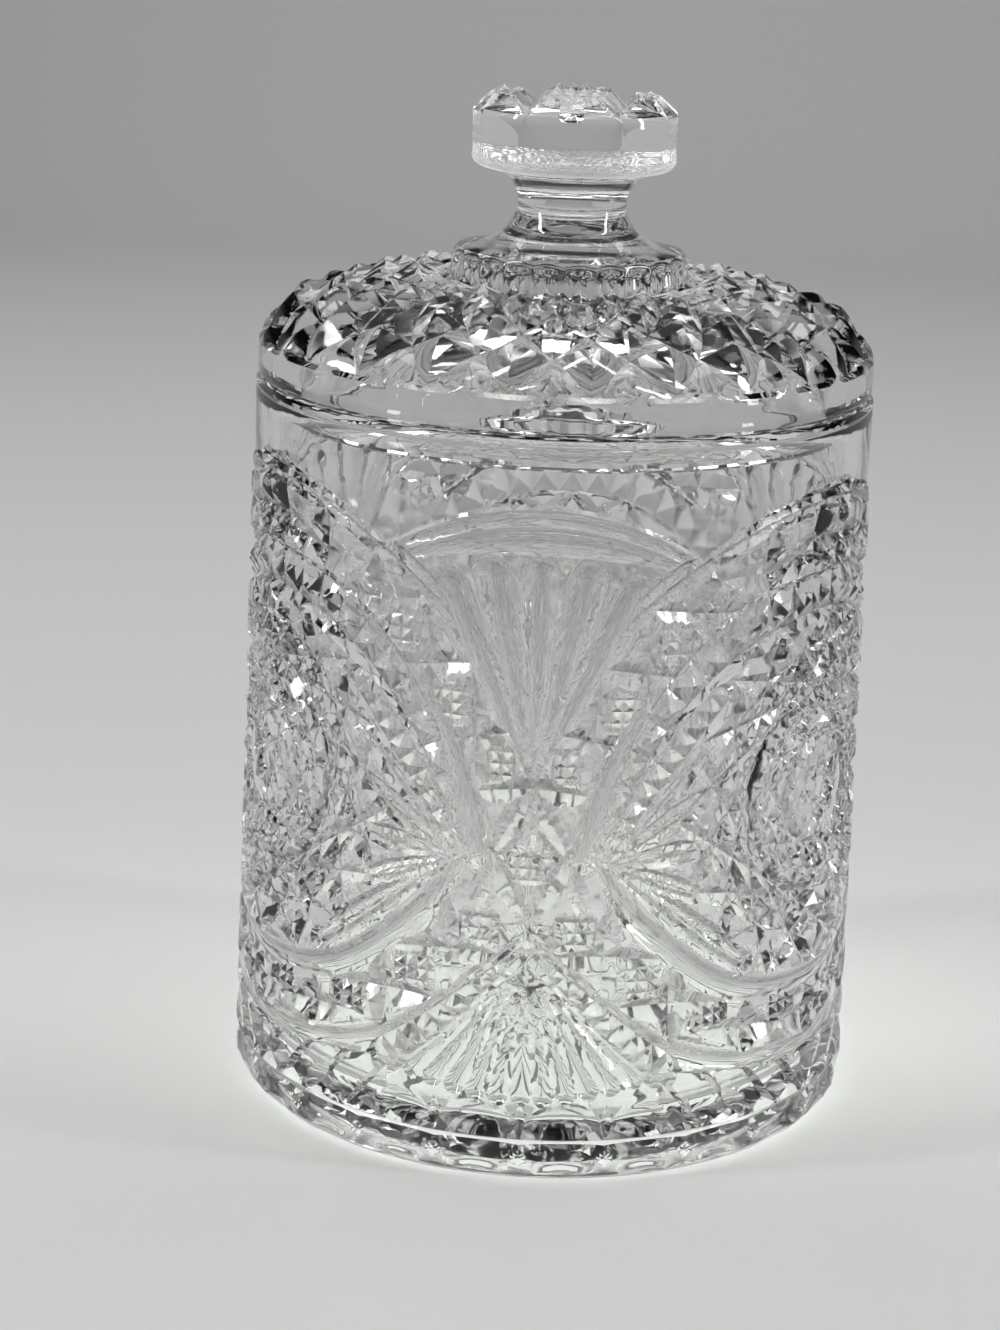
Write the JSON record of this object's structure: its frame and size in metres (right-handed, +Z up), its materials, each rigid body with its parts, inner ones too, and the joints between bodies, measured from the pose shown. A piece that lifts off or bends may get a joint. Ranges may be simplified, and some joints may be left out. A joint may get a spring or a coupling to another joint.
{
  "type": "lidded biscuit jar",
  "caption": "Footed cylindrical pressed-glass jar with an imitation-cut wall of fans and star medallions, and a domed lift-off lid of diamond points with a round knob.",
  "frame": {"origin": "centre of the base, on the surface the jar stands on", "axes": "+Z up along the axis of the jar, -Y towards the front panel with its fan"},
  "size_m": [0.148, 0.148, 0.232],
  "materials": {
    "glass": "clear fire-polished pressed glass"
  },
  "bodies": {
    "jar": {"jar": "glass"},
    "lid": {"lid": "glass"}
  },
  "joints": [
    {"name": "lid_lift", "type": "slide", "parent": "jar", "child": "lid", "axis": [0, 0, 1], "range_m": [0, 0.09]}
  ]
}
